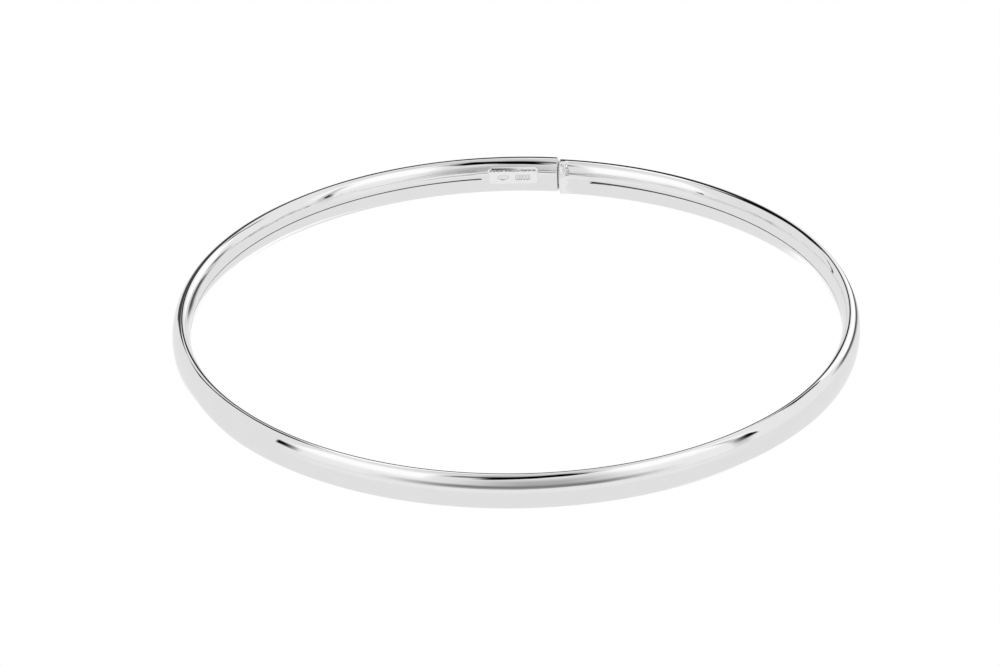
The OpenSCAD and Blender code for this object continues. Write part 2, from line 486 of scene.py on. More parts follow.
# %% Outline of the tube, with the seam's groove on its inner side
SEAM_W, SEAM_DEPTH = 0.1 * MM, 0.05 * MM
SEAM_CLEAR = {1: 7.9 * MM, -1: 3.3 * MM}      # length without a visible seam, from the joint
SEAM_OPENED = {1: 0.5, -1: 1.7}               # how much wider the line is where it starts
OPENED_L = 5.5 * MM                           # the widening dies away over about this length
PLAIN_FROM = 2.8                              # the oval is left alone from this many half widths on
GROOVE_FADE = 0.6                             # degrees over which the groove runs out


def smooth(x, low, high):
    t = np.clip((np.asarray(x, float) - low) / (high - low), 0, 1)
    return t * t * (3 - 2 * t)


def tube_outline():
    """Section angles, how the groove's points spread from its middle, and which lie on its floor."""
    a = np.linspace(0, 2 * np.pi, SECTION_POINTS, endpoint=False)
    half = math.asin(SEAM_W / 2 / HALF_W)
    keep = a[np.abs(a - np.pi) > half * PLAIN_FROM]
    cut = int(np.searchsorted(keep, np.pi))
    before, after = np.zeros(cut), np.zeros(len(keep) - cut)
    angles = np.concatenate([keep[:cut], [np.pi] * 5, keep[cut:]])
    spread = np.concatenate([before, np.array([-1, -0.7, 0, 0.7, 1]) * half, after])
    on_floor = np.concatenate([before, [0, 1, 1, 1, 0], after])
    return angles, spread, on_floor, range(cut, cut + 4)


def seam_widening(from_front, way):
    """The line is wider near the joint, where the tube was opened a little for the fittings."""
    from_start = np.maximum(np.radians(END_DEG - from_front) * RING_R - SEAM_CLEAR[way], 0)
    return 1 + SEAM_OPENED[way] * np.exp(-from_start / OPENED_L)


def vectors_at_ring(degrees, outward, axial, forward, way):
    """Directions given as outward, axial and along the tube towards the joint."""
    a = np.radians(degrees)
    a, o, z, f = np.broadcast_arrays(a, outward, axial, forward)
    x = o * np.cos(a) + way * f * np.sin(a)
    y = o * np.sin(a) - way * f * np.cos(a)
    return tilt(np.stack([x, y, z], -1), way)


def ring_degrees(from_front, way):
    """The direction of a place that far from the front, on the half that leans that way."""
    return FRONT_DEG - way * np.asarray(from_front, float)


print(f"outline of {len(tube_outline()[0])} points, seam {SEAM_W / MM:.2f} mm wide")

# %% [markdown]
# Each row of the loft is the same outline, set deeper or shallower. Along the body only the groove is
# sunk. At the end the rows turn over the rim in small steps, and the last two run back down the bore.
# The normals come from the same angles as the points, so the mirror shows one unbroken curve.

# %% Loft one half of the tube
RIM_ROUND = 0.12 * MM                         # the wall's end edges are rubbed round
BORE_SHOWN = 7 * MM                           # how far down the bore the skin goes
RIM_STEPS, TUBE_ROWS = 8, 420


def tube_half(name, way):
    angles, spread, on_floor, groove = tube_outline()
    body = np.linspace(0, END_DEG - arc_degrees(RIM_ROUND), TUBE_ROWS)
    turn = np.linspace(0, np.pi / 2, RIM_STEPS + 1)
    straight = body[-1]
    outer_edge = straight + arc_degrees(RIM_ROUND) * np.sin(turn[1:])
    inner_edge = straight + arc_degrees(RIM_ROUND) * np.cos(turn)
    bore = straight - arc_degrees(BORE_SHOWN) * np.array([0.3, 1.0])
    from_front = np.concatenate([body, outer_edge, inner_edge, bore])
    inward = np.concatenate([body * 0, RIM_ROUND * (1 - np.cos(turn[1:])),
                             TUBE_WALL - RIM_ROUND * (1 - np.sin(turn)), bore * 0 + TUBE_WALL])
    facing = np.concatenate([body * 0 + 1, np.cos(turn[1:]), -np.sin(turn), bore * 0 - 1])[:, None]
    forward = np.concatenate([body * 0, np.sin(turn[1:]), np.cos(turn), bore * 0])[:, None]
    clear_from = END_DEG - arc_degrees(SEAM_CLEAR[way])
    groove_at = 1 - smooth(from_front, clear_from - GROOVE_FADE, clear_from)
    groove_at[TUBE_ROWS:] = 0
    section = angles[None, :] + spread[None, :] * seam_widening(from_front, way)[:, None]
    crown_out, crown_up = HALF_T * np.cos(section), HALF_W * np.sin(section)
    size = np.hypot(HALF_W * np.cos(section), HALF_T * np.sin(section))
    normal_out, normal_up = HALF_W * np.cos(section) / size, HALF_T * np.sin(section) / size
    sunk = inward[:, None] + SEAM_DEPTH * groove_at[:, None] * on_floor[None, :]
    degrees = ring_degrees(from_front, way)[:, None]
    rings = at_ring(degrees, crown_out - normal_out * sunk, crown_up - normal_up * sunk, way)
    normals = vectors_at_ring(degrees, normal_out * facing, normal_up * facing, forward, way)
    middle = np.stack([crown_out[0], crown_up[0]], -1)
    steps = np.linalg.norm(np.diff(middle, axis=0, append=middle[:1]), axis=1)
    around = np.concatenate([[0], np.cumsum(steps)]) / MM
    along = np.radians(from_front) * RING_R / MM * way
    return skin(name, rings, (along, around), normals, flat=groove)


def bend_with_ring(obj):
    """Bakes the piece's place into its own points."""
    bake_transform(obj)


for way, name, node in ((1, "tube_collar_side", "tube_collar_half"),
                        (-1, "tube_tongue_side", "tube_tongue_half")):
    half = tube_half(name, way)
    finish_piece(half, mirror_silver, replaces=[node])
    bend_with_ring(half)

# %% [markdown]
# ## The soldered line
# Solder drawn into the closed edges of the strip sets a little below the wall and stays greyer than
# the polished tube, so it shows as a hairline all round the inside. It is its own thin strip, laid in
# the groove, with its surface dished as a liquid's is and its height wandering slightly.

# %% Seam solder
SEAM_ROWS = 420
STRIP_PLACES = np.array([-1.0, -0.5, 0, 0.5, 1.0, 1.0, -1.0])   # five across the top, two below
DISH = np.array([0, 0.2, 0.28, 0.2, 0, 0, 0])                   # the top's hollow, in groove depths
BELOW = np.array([False] * 5 + [True] * 2)
TOP_DEPTH, TOP_WANDER, FOOT_DEPTH = 0.4, 0.25, 1.02             # in groove depths
STRIP_FADE = 0.5                                                # degrees


def seam_strip(name, way):
    last = END_DEG - arc_degrees(SEAM_CLEAR[way])
    from_front = np.linspace(0, last, SEAM_ROWS)
    across = STRIP_PLACES * SEAM_W / 2 * seam_widening(from_front, way)[:, None]
    wander = np.array([noise.noise(Vector((d * 0.9, 3.0 * way, 0))) for d in from_front])
    top = (TOP_DEPTH + TOP_WANDER * wander[:, None]) * SEAM_DEPTH + DISH * SEAM_DEPTH
    depth = np.where(BELOW[None, :], SEAM_DEPTH * FOOT_DEPTH, top)
    depth *= (1 - smooth(from_front, last - STRIP_FADE, last))[:, None]
    rings = at_ring(ring_degrees(from_front, way)[:, None], -HALF_T + depth, across, way)
    along = np.radians(from_front) * RING_R / MM * way
    around = np.append(np.arange(7) * 0.05, 0.35)
    return skin(name, rings, (along, around))


for way, name, node in ((1, "seam_solder_collar_side", "seam_solder_collar_half"),
                        (-1, "seam_solder_tongue_side", "seam_solder_tongue_half")):
    strip = seam_strip(name, way)
    finish_piece(strip, seam_silver, replaces=[node])
    bend_with_ring(strip)

# %% [markdown]
# ## The push-in joint
# The collar is a short sleeve soldered into the thin mouth of the tube, with an oval way through it
# for the tongue. The plug closes the other end and holds the tongue, which follows the arc that the
# end of the ring swings through, so that it slides without rubbing. All three are plain worked
# silver: filed, fitted and only rubbed bright where they slide. The sleeve could be an oval rod with
# a hole cut through it, but a loft that runs round its wall gives clean, eased edges at once.

# %% Sleeve
SOLDER_GAP, SLIDE_CLEARANCE = 0.02 * MM, 0.08 * MM
TONGUE_W, TONGUE_T = tongue_high.z - tongue_low.z, 0.6 * MM
TONGUE_ROOT_X, TONGUE_TIP_X = tongue_high.x, tongue_low.x
COLLAR_L = collar_high.x - collar_low.x
FACE_SET = 0.12 * MM                          # the joint's faces stand this far inside the rims
EASE = 0.05 * MM                              # how far a sharp edge is rubbed down


def at_slide(x, outward, axial):
    """Places on the tongue's own arc: x along it, outward and axial across it."""
    x, outward, axial = np.broadcast_arrays(np.asarray(x, float), outward, axial)
    a = np.arcsin(x / SLIDE_R)
    r = SLIDE_R + outward
    return np.stack([r * np.sin(a), FLEX_Y + r * np.cos(a), axial], -1)


def plain_uv(rows, count, length):
    return np.linspace(0, length / MM, rows), np.linspace(0, 6.0, count + 1)


def collar():
    """A sleeve: its outside runs to the face, over an eased lip and back along the tongue's way."""
    outer = oval(BORE_T - SOLDER_GAP, BORE_W - SOLDER_GAP)
    inner = oval(TONGUE_T / 2 + SLIDE_CLEARANCE, TONGUE_W / 2 + SLIDE_CLEARANCE)
    face = END_DEG - arc_degrees(FACE_SET)
    back_end = END_DEG - arc_degrees(COLLAR_L)

    def on_tube(deg):
        return at_ring(ring_degrees(deg, 1), outer[:, 0], outer[:, 1], 1)

    def on_slide(x, grow):
        points = inner * (1 + grow / np.linalg.norm(inner, axis=1, keepdims=True))
        return at_slide(x, points[:, 0], points[:, 1])

    face_x, back_x = -END_GAP / 2 - FACE_SET, -END_GAP / 2 - COLLAR_L
    turn_in = np.linspace(0, np.pi / 2, 6)
    rows = [on_tube(back_end), on_tube(face)]
    rows += [on_slide(face_x - EASE * (1 - math.cos(t)), EASE * (1 - math.sin(t))) for t in turn_in]
    rows += [on_slide(back_x, 0)]
    rings = np.array(rows)
    return skin("joint_sleeve", rings, plain_uv(len(rows), rings.shape[1], COLLAR_L), loop=True)


finish_piece(collar(), fitted_silver, COLLAR_BODY, ["joint_collar"])

# %% [markdown]
# The plug fills the other mouth. Its outline is a row of the tube's bore, and its face is lofted in
# towards the tongue's root, where the solder that holds the tongue stands up in a small cone.

# %% Plug
PLUG_L = 3 * MM
SOLDER_CONE = FACE_SET * 1.4                  # how high solder stands round the tongue's root


def plug():
    """A stopper with a flat face; solder stands in a small cone round the tongue's root."""
    outer = oval(BORE_T - SOLDER_GAP, BORE_W - SOLDER_GAP)
    root = oval(TONGUE_T / 2, TONGUE_W / 2)
    face, back_end = END_DEG - arc_degrees(FACE_SET), END_DEG - arc_degrees(PLUG_L)
    rows = [at_ring(ring_degrees(d, -1), outer[:, 0], outer[:, 1], -1) for d in (back_end, face)]
    for share in (0.35, 0.6, 0.8, 0.92, 1.0):
        points = outer + (root - outer) * share
        rise = SOLDER_CONE * share ** 4
        rows.append(at_ring(ring_degrees(face, -1) + arc_degrees(rise), points[:, 0], points[:, 1], -1))
    rings = np.array(rows)
    return skin("tongue_stopper", rings, plain_uv(len(rows), rings.shape[1], PLUG_L))


finish_piece(plug(), fitted_silver, TONGUE_BODY, ["tongue_plug"])

# %% [markdown]
# The tongue is one oval bar, rounded at its tip so that it finds the sleeve, with a slight swelling
# near the tip that gives it its grip.

# %% Tongue
SWELL, SWELL_FROM_TIP, SWELL_L = 0.06, 1.5 * MM, 0.5 * MM
THINNEST = 0.0004                             # keeps the last row from closing to a point


def tongue():
    """An oval bar on the sliding arc, thinned towards a rounded tip, with a slight spring swelling."""
    section = oval(TONGUE_T / 2, TONGUE_W / 2, 72)
    tip_r = TONGUE_T / 2
    x = np.concatenate([np.linspace(TONGUE_ROOT_X, TONGUE_TIP_X + tip_r, 60),
                        TONGUE_TIP_X + tip_r - tip_r * np.sin(np.linspace(0, np.pi / 2, 14)[1:])])
    t = np.clip((TONGUE_TIP_X + tip_r - x) / tip_r, 0, 1)
    round_off = np.sqrt(np.maximum(1 - t * t, THINNEST))
    swell = 1 + SWELL * np.exp(-((x - TONGUE_TIP_X - SWELL_FROM_TIP) / SWELL_L) ** 2)
    thick = section[None, :, 0] * (round_off * swell)[:, None]
    wide = section[None, :, 1] - np.sign(section[None, :, 1]) * np.minimum(
        np.abs(section[None, :, 1]), tip_r * (1 - round_off)[:, None])
    rings = at_slide(x[:, None], thick, wide)
    return skin("push_in_tongue", rings, ((TONGUE_ROOT_X - x) / MM, np.linspace(0, 5.0, 73)))


finish_piece(tongue(), worked_silver, TONGUE_BODY, ["joint_tongue"])

# %% [markdown]
# ## The plate and its solder
# The plate is a scrap of flat sheet with clipped, filed corners. Its back is flat and the wall is
# round, so it stands off the wall by the thickness of its solder. Places on it are given from its own
# middle: x along it, y along the ring's axis, and up towards the ring's centre.

# %% The plate's place
PLATE_L, PLATE_W, PLATE_T, PLATE_CORNER = 4.95 * MM, 1.5 * MM, 0.3 * MM, 0.33 * MM
PLATE_RISE, PLATE_BED = 0.3 * MM, 0.08 * MM   # above the tube's middle, and the solder's least depth
FROM_JOINT = 2.1 * MM
PLATE_POINTS = 160                            # points round its outline
PLATE_DEG = JOINT_DEG + arc_degrees(FROM_JOINT + PLATE_L / 2, RING_R - HALF_T)
PLATE_BACK = math.sqrt((RING_R - HALF_T) ** 2 - (PLATE_L / 2) ** 2) - PLATE_BED


def at_plate(x, y, up):
    """Places on the plate, from its middle."""
    x, y, up = np.broadcast_arrays(np.asarray(x, float), y, up)
    a = math.radians(PLATE_DEG)
    r = PLATE_BACK - up
    return lean(np.stack([r * math.cos(a) + x * math.sin(a), r * math.sin(a) - x * math.cos(a),
                          y + PLATE_RISE], -1), 1)


def wall_below_plate(x, y):
    """How far the tube's wall lies below the plate's back, at a place on the plate."""
    z = np.clip((y + PLATE_RISE) / HALF_W, -1, 1)
    wall_r = RING_R - HALF_T * np.sqrt(1 - z * z)
    return np.sqrt(wall_r ** 2 - np.asarray(x) ** 2) - PLATE_BACK


def outline_distance(x, y, length, width, corner):
    """How far a place lies outside a rounded rectangle's outline. It is negative inside."""
    past_x, past_y = np.abs(x) - (length / 2 - corner), np.abs(y) - (width / 2 - corner)
    far = np.hypot(np.maximum(past_x, 0), np.maximum(past_y, 0))
    return far + np.minimum(np.maximum(past_x, past_y), 0) - corner


def rounded_outline(length, width, corner):
    """Points round a rounded rectangle, the same number on each corner."""
    a = np.linspace(0, 2 * np.pi, PLATE_POINTS, endpoint=False)
    quarter = np.floor(a / (np.pi / 2)).astype(int) % 4
    cx = np.array([1, -1, -1, 1])[quarter] * (length / 2 - corner)
    cy = np.array([1, 1, -1, -1])[quarter] * (width / 2 - corner)
    return np.stack([cx + corner * np.cos(a), cy + corner * np.sin(a)], -1)


print(f"plate at {PLATE_DEG - JOINT_DEG:.2f} degrees from the joint, back {PLATE_BACK / MM:.2f} mm out")

# %% [markdown]
# The plate could be a bevelled slab, but the two punches also leave hollows with soft shoulders. So
# its face is a fine grid that is pushed down where a punch has struck, and rounded off at the edge.
# The marks are a plain oval and plain bars.

# %% Punch marks
PUNCH_DEPTH, PUNCH_H, PUNCH_STEP = 0.06 * MM, 0.6 * MM, 2 * MM
OVAL_L, BARS_L, BARS_CORNER, BAR_COUNT = 1.2 * MM, 1.5 * MM, 0.08 * MM, 4
BAR_RISE = 0.9                                # the bars stand nearly as high as the plate's face
SHOULDER = 0.05 * MM                          # a struck hollow's edge slopes over this width


def punch_depth(x, y):
    oval_edge = (np.hypot((x + PUNCH_STEP / 2) / (OVAL_L / 2), y / (PUNCH_H / 2)) - 1) * PUNCH_H / 2
    box_edge = outline_distance(x - PUNCH_STEP / 2, y, BARS_L, PUNCH_H, BARS_CORNER)
    pitch = BARS_L / (BAR_COUNT + 1)
    to_bar = np.abs((x - PUNCH_STEP / 2 + pitch / 2) % pitch - pitch / 2)
    standing = 1 - smooth(to_bar, pitch / 6 - SHOULDER / 2, pitch / 6 + SHOULDER / 2)
    inside = np.abs(x - PUNCH_STEP / 2) < BARS_L / 2 - pitch / 2
    bars = (1 - smooth(box_edge, -SHOULDER, 0)) * (1 - np.where(inside, standing, 0) * BAR_RISE)
    return PUNCH_DEPTH * np.maximum(1 - smooth(oval_edge, -SHOULDER, 0), bars)


print(f"marks struck {PUNCH_DEPTH / MM:.2f} mm deep, {BAR_COUNT} bars left standing in one")

# %% [markdown]
# The grid's corners are pulled in to the plate's outline, its edge is eased by the file, and file
# marks roughen it, most of all along the upper edge, which was left unpolished. How dark each place
# is goes with the mesh as a number, and the finish reads it from there. The floors and shoulders of
# the punch hollows are darkened as painted shade, and the unpolished upper edge is darkened too.

# %% The plate
GRID, TINY = 0.022 * MM, 1e-9
EDGE_EASE = 0.07 * MM
FILE_ALONG, FILE_ACROSS, FILE_MARK = 5, 9, 0.006 * MM
# the first two darken the punch hollows as painted shade, most on their sloping shoulders; the last
# darkens the unpolished upper edge
PUNCH_FLOOR_SHADE, PUNCH_SHOULDER_SHADE, EDGE_DULL = 0.12, 2.8, 0.9
PLATE_SKIRT = 0.02 * MM                       # the sides go this far into the solder


def plate_grid():
    """Places all over the plate, those near a corner pulled in to its rounded outline."""
    x, y = np.meshgrid(np.linspace(-PLATE_L / 2, PLATE_L / 2, int(PLATE_L / GRID)),
                       np.linspace(-PLATE_W / 2, PLATE_W / 2, int(PLATE_W / GRID)))
    straight_l, straight_w = PLATE_L / 2 - PLATE_CORNER, PLATE_W / 2 - PLATE_CORNER
    past_x, past_y = np.abs(x) - straight_l, np.abs(y) - straight_w
    in_corner = (past_x > 0) & (past_y > 0)
    far = np.hypot(np.maximum(past_x, 0), np.maximum(past_y, 0))
    square = np.maximum(np.maximum(past_x, past_y), TINY)
    pull = np.where(in_corner, square / np.maximum(far, TINY), 1)
    return (np.where(in_corner, np.sign(x) * (straight_l + past_x * pull), x),
            np.where(in_corner, np.sign(y) * (straight_w + past_y * pull), y))


def plate():
    x, y = plate_grid()
    edge = outline_distance(x, y, PLATE_L, PLATE_W, PLATE_CORNER)
    rounding = np.clip((edge + EDGE_EASE) / EDGE_EASE, 0, 1)
    eased = EDGE_EASE * (1 - np.sqrt(np.clip(1 - rounding ** 2, 0, 1)))
    filed = np.array([noise.noise(Vector((u / MM * FILE_ALONG, v / MM * FILE_ACROSS, 0)))
                      for u, v in zip(x.ravel(), y.ravel())]).reshape(x.shape)
    upper_edge = smooth(y, PLATE_W * 0.3, PLATE_W * 0.5)
    up = PLATE_T - eased - punch_depth(x, y) + filed * FILE_MARK * (0.3 + 3 * upper_edge)
    struck = punch_depth(x, y) / PUNCH_DEPTH
    unfiled = smooth(y, PLATE_W / 2 - 0.16 * MM, PLATE_W / 2 - 0.05 * MM) * smooth(filed, -0.15, 0.2)
    # how dark each place is: painted shade in the punch hollows, darkest on their shoulders, plus the
    # darker unpolished upper edge
    dull = PUNCH_FLOOR_SHADE * struck + PUNCH_SHOULDER_SHADE * struck * (1 - struck) + EDGE_DULL * unfiled
    top = at_plate(x, y, up).reshape(-1, 3)
    index = np.arange(len(top)).reshape(x.shape)
    quads = np.stack([index[:-1, :-1], index[:-1, 1:], index[1:, 1:], index[1:, :-1]], -1)
    rim = np.concatenate([index[0, :-1], index[:-1, -1], index[-1, :0:-1], index[:0:-1, 0]])
    rim_x, rim_y = x.ravel()[rim], y.ravel()[rim]
    foot = len(top) + np.arange(len(rim))
    sides = np.stack([rim, foot, np.roll(foot, -1), np.roll(rim, -1)], -1)
    faces = quads.reshape(-1, 4).tolist() + sides.tolist() + [foot.tolist()]
    mesh = bpy.data.meshes.new("marking_plate")
    mesh.from_pydata(np.concatenate([top, at_plate(rim_x, rim_y, -PLATE_SKIRT)]).tolist(), [], faces)
    mesh.polygons.foreach_set("use_smooth", [True] * len(faces))
    spot = np.concatenate([np.stack([x.ravel(), y.ravel()], -1), np.stack([rim_x, rim_y], -1) * 1.1]) / MM
    corner = np.zeros(len(mesh.loops), int)
    mesh.loops.foreach_get("vertex_index", corner)
    mesh.uv_layers.new(name=SURFACE_MAP).data.foreach_set("uv", spot[corner].ravel())
    point_faces_outward(mesh)
    at_points = np.concatenate([dull.ravel(), np.zeros(len(rim))]).clip(0, 1)
    # this number carries the painted shade of the punch hollows and the darker upper edge to the finish
    mesh.attributes.new("struck", "FLOAT", "POINT").data.foreach_set("value", at_points)
    return add_to_scene("marking_plate", mesh)


finish_piece(plate(), plate_silver, COLLAR_BODY, ["hallmark_plate"])

# %% [markdown]
# Solder drawn under the plate fills the wedge between its flat back and the round wall, and creeps
# out in a thin hollow fillet. It is lofted round the plate's outline from the plate's side down to
# the wall, and the width wanders as it does when solder runs.

# %% Solder bed of the plate
FILLET, FILLET_TOP = 0.12 * MM, 0.09 * MM     # its width, and how high it climbs the plate's side
SINK, TOE = 0.02 * MM, 0.01 * MM              # how far its foot and its outer edge go into the wall
RUN_WANDER, RUN_LUMPS = 0.25, 1.3             # how far the edge strays, and how often


def plate_bed():
    rows = []
    for t in np.linspace(0, 1, 9):
        grow = FILLET * t
        length, width = PLATE_L + 2 * grow - SINK, PLATE_W + 2 * grow - SINK
        points = rounded_outline(length, width, PLATE_CORNER + grow)
        wander = np.array([noise.noise(Vector((px / MM * RUN_LUMPS, py / MM * RUN_LUMPS, 7)))
                           for px, py in points])
        points = points * (1 + (RUN_WANDER * wander * t * FILLET / np.hypot(*points.T))[:, None])
        wall = -wall_below_plate(points[:, 0], points[:, 1])
        up = wall + (FILLET_TOP - wall) * (1 - math.sin(t * math.pi / 2)) - TOE * t
        rows.append(at_plate(points[:, 0], points[:, 1], up))
    points = rounded_outline(PLATE_L, PLATE_W, PLATE_CORNER)
    foot = -wall_below_plate(points[:, 0], points[:, 1]) - SINK
    rows.append(at_plate(points[:, 0], points[:, 1], foot))
    layout = (np.linspace(0, 0.3, len(rows)), np.linspace(0, 12, len(points) + 1))
    return skin("plate_solder_bed", np.array(rows), layout, loop=True)


finish_piece(plate_bed(), painted_light_flowed_solder, COLLAR_BODY, ["plate_solder"])

# %% [markdown]
# On the plug's end the solder has run out of the joint and set on the inside of the tube in a thin
# crust with an uneven edge. A film this thin is best made as the tube's own surface lifted by a few
# hundredths of a millimetre, more near the joint, and broken up by noise.

# %% Solder that has run over the plug's end
FLOOD_T, FLOOD_L = 0.09 * MM, 1.15 * MM
FLOOD_ROWS, FLOOD_COLUMNS = 60, 150
FLOOD_MARGIN = 8                              # degrees round the section, from its top and bottom
FLOOD_SINK = 0.03 * MM


def plug_flood():
    s = np.linspace(0, 1, FLOOD_ROWS)
    a = np.linspace(np.radians(90 + FLOOD_MARGIN), np.radians(270 - FLOOD_MARGIN), FLOOD_COLUMNS)
    out, axial = HALF_T * np.cos(a), HALF_W * np.sin(a)
    normal = np.stack([HALF_W * np.cos(a), HALF_T * np.sin(a)], -1)
    normal /= np.linalg.norm(normal, axis=1, keepdims=True)
    reach = np.array([0.8 + 0.35 * noise.noise(Vector((v * 3.1, 1.7, 0))) for v in a])
    along = s[:, None] * FLOOD_L * reach[None, :]
    lumps = np.array([[noise.noise(Vector((u * 3.5, v * 3.4, 4))) for v in a] for u in s])
    grains = np.array([[noise.noise(Vector((u * 9, v * 8, 9))) for v in a] for u in s])
    side = 1 - smooth(np.abs(a - np.pi) / (np.pi / 2), 0.75, 0.9)
    edge = (1 - s[:, None] ** 3) * side[None, :]
    lift = FLOOD_T * edge * np.clip(0.35 + 1.3 * np.abs(lumps) + 0.5 * np.abs(grains), 0.03, 1)
    deg = ring_degrees(END_DEG - arc_degrees(RIM_ROUND * 0.8) - np.degrees(along / RING_R), -1)
    top = at_ring(deg, out + normal[:, 0] * lift, axial + normal[:, 1] * lift, -1)
    under = at_ring(deg, out - normal[:, 0] * FLOOD_SINK, axial - normal[:, 1] * FLOOD_SINK, -1)
    rings = np.concatenate([top, under[:, ::-1]], 1)
    return skin("plug_solder_run", rings, (s * FLOOD_L / MM, np.linspace(0, 8, rings.shape[1] + 1)))


finish_piece(plug_flood(), painted_light_flowed_solder, TONGUE_BODY, ["plug_solder"])

# %% [markdown]
# ## The studio
# A mirror shows its surroundings, so they are built with as much care as the metal. The bangle lies
# on a white table in a small tent of white cloth, with a big soft box on either side. The dark shapes
# in the metal are left or put there on purpose: a black card round the lens, the dim front of the
# table, and the gaps beside the boxes. Lamps and reflectors could be set up one by one, but a single
# glowing sphere that is painted with soft-edged panels is easier to adjust, so that is done here.

# %% The tent's cloth
TENT_R = 7 * RING_R
ball = bmesh.new()
bmesh.ops.create_uvsphere(ball, u_segments=96, v_segments=48, radius=TENT_R)
cloth = bpy.data.meshes.new("light_tent")
ball.to_mesh(cloth)
ball.free()
tent = add_to_scene("light_tent", cloth)
tent.visible_camera = False
print(f"tent of {TENT_R:.2f} m radius, {len(cloth.polygons)} faces")

# %% [markdown]
# A panel is a rectangle on the tent, given in degrees: how far round from the camera its middle lies
# and how far up, its half width and half height, how soft its sides and its other two edges are, and
# how much it slants. The group answers how far inside the panel a direction lies, from 0 to 1.

# %% A soft-edged panel
def make_panel():
    g, i, o = new_group("soft_panel",
                        [("Round", NUMBER, 0.0), ("Up", NUMBER, 0.0),
                         ("Centre", NUMBER, 0.0), ("Half width", NUMBER, 10.0),
                         ("Height", NUMBER, 0.0), ("Half height", NUMBER, 10.0),
                         ("Side blur", NUMBER, 4.0), ("Edge blur", NUMBER, 4.0),
                         ("Slant", NUMBER, 0.0)], [("Mask", NUMBER)])
    gap = sums(g, "SUBTRACT", i.outputs["Round"], i.outputs["Centre"])
    wrapped = add(g, "ShaderNodeMath", {0: gap, 1: 180.0, 2: -180.0}, operation="WRAP").outputs[0]
    lifted = sums(g, "ADD", i.outputs["Height"], sums(g, "MULTIPLY", wrapped, i.outputs["Slant"]))
    rise = sums(g, "SUBTRACT", i.outputs["Up"], lifted)
    masks = []
    for offset, half, blur in ((wrapped, "Half width", "Side blur"), (rise, "Half height", "Edge blur")):
        away = sums(g, "ABSOLUTE", offset)
        out_edge = sums(g, "ADD", i.outputs[half], i.outputs[blur])
        in_edge = sums(g, "SUBTRACT", i.outputs[half], i.outputs[blur])
        ramp = add(g, "ShaderNodeMapRange", {0: away, 1: out_edge, 2: in_edge},
                   interpolation_type="SMOOTHSTEP")
        masks.append(ramp.outputs[0])
    g.links.new(sums(g, "MULTIPLY", masks[0], masks[1]), o.inputs["Mask"])
    return g


def display(shade):
    """A shade as it shows on screen, 0 black to 1 white, turned into an amount of light."""
    return ((shade + 0.055) / 1.055) ** 2.4 if shade > 0.04045 else shade / 12.92


PANEL = name_sockets(make_panel())
print(f"a shade of 0.5 is {display(0.5):.2f} of the light of a shade of 1")

# %% [markdown]
# The tent's material has to know which way each spot on it lies from the ring's centre. The spot's own
# place gives that, turned so that 0 degrees round is the side the camera stands on.

# %% Directions on the tent
glow, sky = empty_material("tent_glow")
place = add(sky, "ShaderNodeNewGeometry").outputs["Position"]
direction = add(sky, "ShaderNodeVectorMath", {0: place}, operation="NORMALIZE").outputs[0]
turned = add(sky, "ShaderNodeVectorRotate", {"Vector": direction, "Angle": -VIEW_AZIMUTH},
             rotation_type="Z_AXIS")
xyz = add(sky, "ShaderNodeSeparateXYZ", {0: turned.outputs[0]})
to_camera = sums(sky, "MULTIPLY", xyz.outputs[1], -1.0)
ROUND = sums(sky, "MULTIPLY", sums(sky, "ARCTAN2", xyz.outputs[0], to_camera), math.degrees(1))
UP = sums(sky, "MULTIPLY", sums(sky, "ARCSINE", xyz.outputs[2]), math.degrees(1))
print(f"the camera stands at 0 degrees round and {math.degrees(VIEW_ELEVATION):.0f} up")

# %% [markdown]
# The panels lie over each other like sheets of paper, in the order of the list. Where none lies, the
# plain cloth shows. Each has a shade as it looks on screen, from 0 for black to 1 for white.

# %% The panels
CLOTH, WHITE = 0.885, 1.0
LAMPS = 1.12                                  # silver swallows a little light, and this makes up for it
PANEL_SETTINGS = ("Centre", "Half width", "Height", "Half height", "Side blur", "Edge blur", "Slant")
PANELS = [
    # name, centre, half width, height, half height, side blur, edge blur, slant, shade
    ("roof", 0, 200, 90, 20, 1, 10, 0, 0.81),
    ("right side", 130, 60, 25, 35, 10, 10, 0, 0.91),
    ("left glow", -52, 22, 8, 16, 8, 8, 0, 0.925),
    ("left soft box", -50, 22, 29, 17, 3, 8, 0, WHITE),
    ("right glow", 50, 24, 5, 18, 8, 8, 0, 0.925),
    ("right soft box", 55, 25, 43, 22, 6, 10, 0, WHITE),
    ("edge of the right box", 71, 3, 18, 24, 2, 8, 0.1, 0.78),
    ("dim table front", 7, 18, 9, 15, 15, 13, 0, 0.67),
    ("dim table edge", 2, 34, -3, 5, 18, 5, 0, 0.46),
    ("grey round the card", 10, 28, 62, 11, 8, 7, 0, 0.66),
    ("side of the card", -17, 8, 47, 8, 4, 4, 0.3, 0.4),
    ("black card", 7, 20, 50, 12, 4, 2, 0.45, 0.0),
    ("rear light", -142, 36, 60, 14, 6, 3, 0, WHITE),
    ("rear dark", -131, 22, 50, 7, 6, 2.5, 0.25, 0.04),
    ("rear box", 142, 16, 18, 22, 3, 3, 0, WHITE),
    ("rear box frame", 137, 19, 41, 2, 4, 1.5, 0, 0.3),
    ("table", 0, 200, -50, 41.5, 1, 0.8, 0, CLOTH),
    ("wall behind", 180, 9, 22, 24, 3, 3, 0, 0.15),
    ("rear table edge", 140, 21, -7, 5, 6, 4, -0.5, 0.3),
    ("bright table near", 0, 70, -15, 4, 14, 3, 0, 0.91),
    ("bright table left", -158, 22, -36, 5, 6, 4, 0, WHITE),
    ("bright table right", 148, 30, -47, 6, 8, 4, 0.5, WHITE),
]
level = display(CLOTH) * LAMPS
